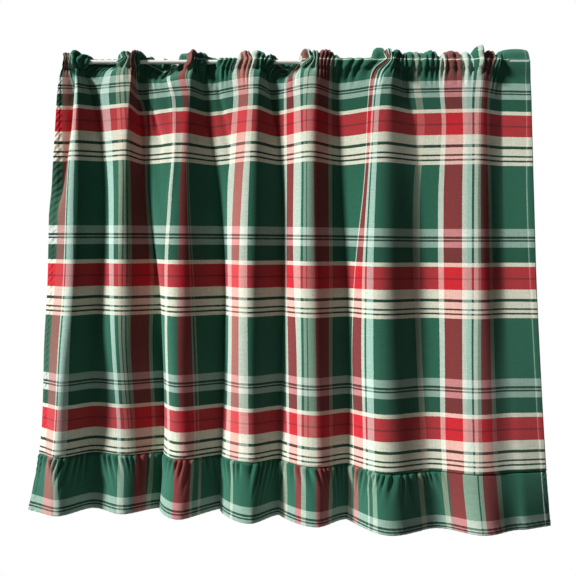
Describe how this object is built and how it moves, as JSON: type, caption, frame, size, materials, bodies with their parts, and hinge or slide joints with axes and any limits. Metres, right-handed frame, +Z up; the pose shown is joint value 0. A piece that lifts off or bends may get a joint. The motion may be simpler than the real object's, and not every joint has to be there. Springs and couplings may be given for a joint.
{
  "type": "tier curtain on a rod",
  "caption": "Short plaid curtain gathered on a thin round rod, with a frilled heading and a gathered ruffle along its hem.",
  "frame": {"origin": "centre of the rod's left end face", "axes": "+X along the rod to its right end, +Z up, the curtain's front faces -Y"},
  "size_m": [1.0247, 0.0983, 0.9244],
  "materials": {
    "painted_rod": "smooth white enamel with a soft shine",
    "plaid_cloth": "yarn-dyed plain-weave cotton plaid in green, red, cream and pale mint, matt",
    "ruffle_cloth": "the same yarn-dyed plain-weave cotton plaid, matt"
  },
  "bodies": {
    "root": {"rod": "painted_rod", "panel": "plaid_cloth", "ruffle": "ruffle_cloth"}
  },
  "joints": []
}
